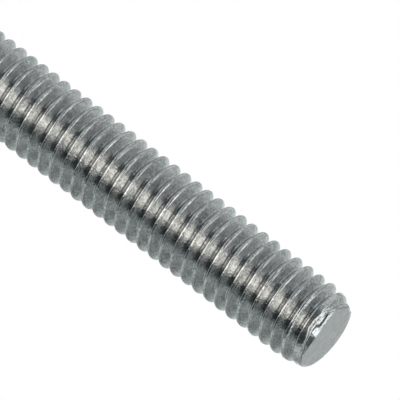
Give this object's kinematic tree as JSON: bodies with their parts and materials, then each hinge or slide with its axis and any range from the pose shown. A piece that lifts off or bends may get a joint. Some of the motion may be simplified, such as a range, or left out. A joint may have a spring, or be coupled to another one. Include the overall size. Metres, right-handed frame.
{
  "type": "threaded rod",
  "caption": "Straight fully threaded steel rod with a right-hand metric coarse thread and tapered, flat-cut ends, for clamping, hanging and spacing with nuts.",
  "frame": {"origin": "centre of the lower end face, which the rod stands on", "axes": "+Z along the rod, from the lower end face to the upper one; the cropped side of the upper face is towards -Y"},
  "size_m": [0.0048, 0.0048, 0.05],
  "materials": {
    "zinc_plated_steel": "bright zinc plated, rolled thread"
  },
  "bodies": {
    "root": {"threaded_rod": "zinc_plated_steel"}
  },
  "joints": []
}
